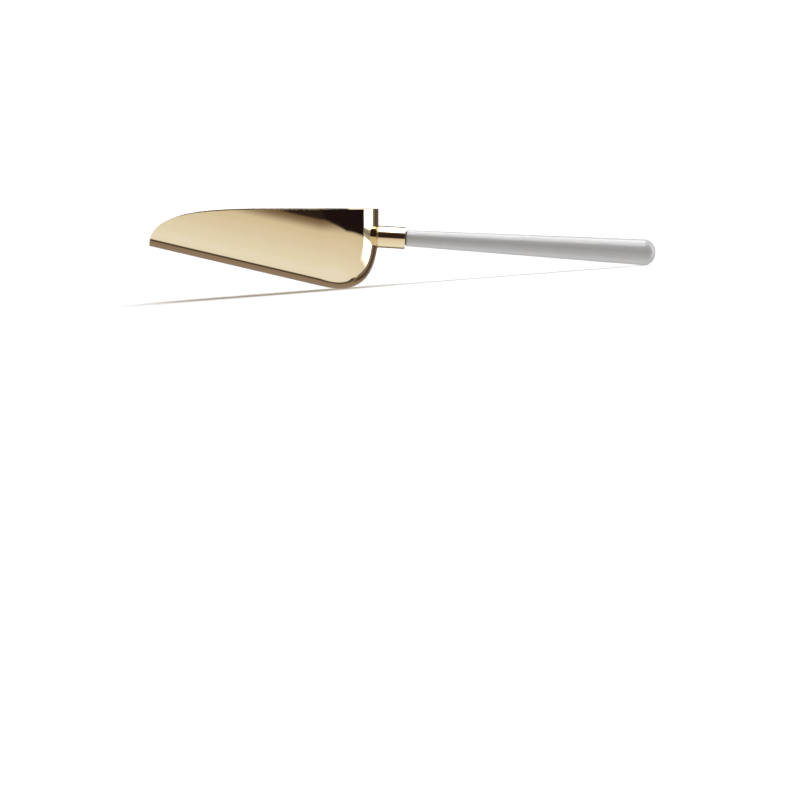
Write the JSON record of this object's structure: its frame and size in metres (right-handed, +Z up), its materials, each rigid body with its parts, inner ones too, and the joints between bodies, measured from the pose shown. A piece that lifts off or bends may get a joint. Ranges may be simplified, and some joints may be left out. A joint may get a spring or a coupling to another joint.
{
  "type": "ice scoop",
  "caption": "Small bar ice scoop: round-bottomed gold trough, open at top and front, on a turned ferrule and a tapered white handle with a round end.",
  "frame": {"origin": "on the surface that the scoop lies on, under the middle of its overall box", "axes": "+X along the scoop from the lip of the bowl to the end of the handle, +Z up with the bowl open upwards; the scoop is mirror-symmetric about the XZ plane"},
  "size_m": [0.215, 0.049, 0.0374],
  "materials": {
    "gold_sheet": "mirror-polished pale gold on drawn sheet",
    "gold_turned": "polished pale gold, turned",
    "gold_braze": "smooth braze metal, gold finish",
    "stud_steel": "plain turned steel, hidden",
    "washer_grey": "dark grey, matt",
    "white_enamel": "satin white enamel"
  },
  "bodies": {
    "root": {"bowl": "gold_sheet", "ferrule": "gold_turned", "braze_fillet": "gold_braze", "stud": "stud_steel", "joint_washer": "washer_grey", "handle": "white_enamel"}
  },
  "joints": []
}
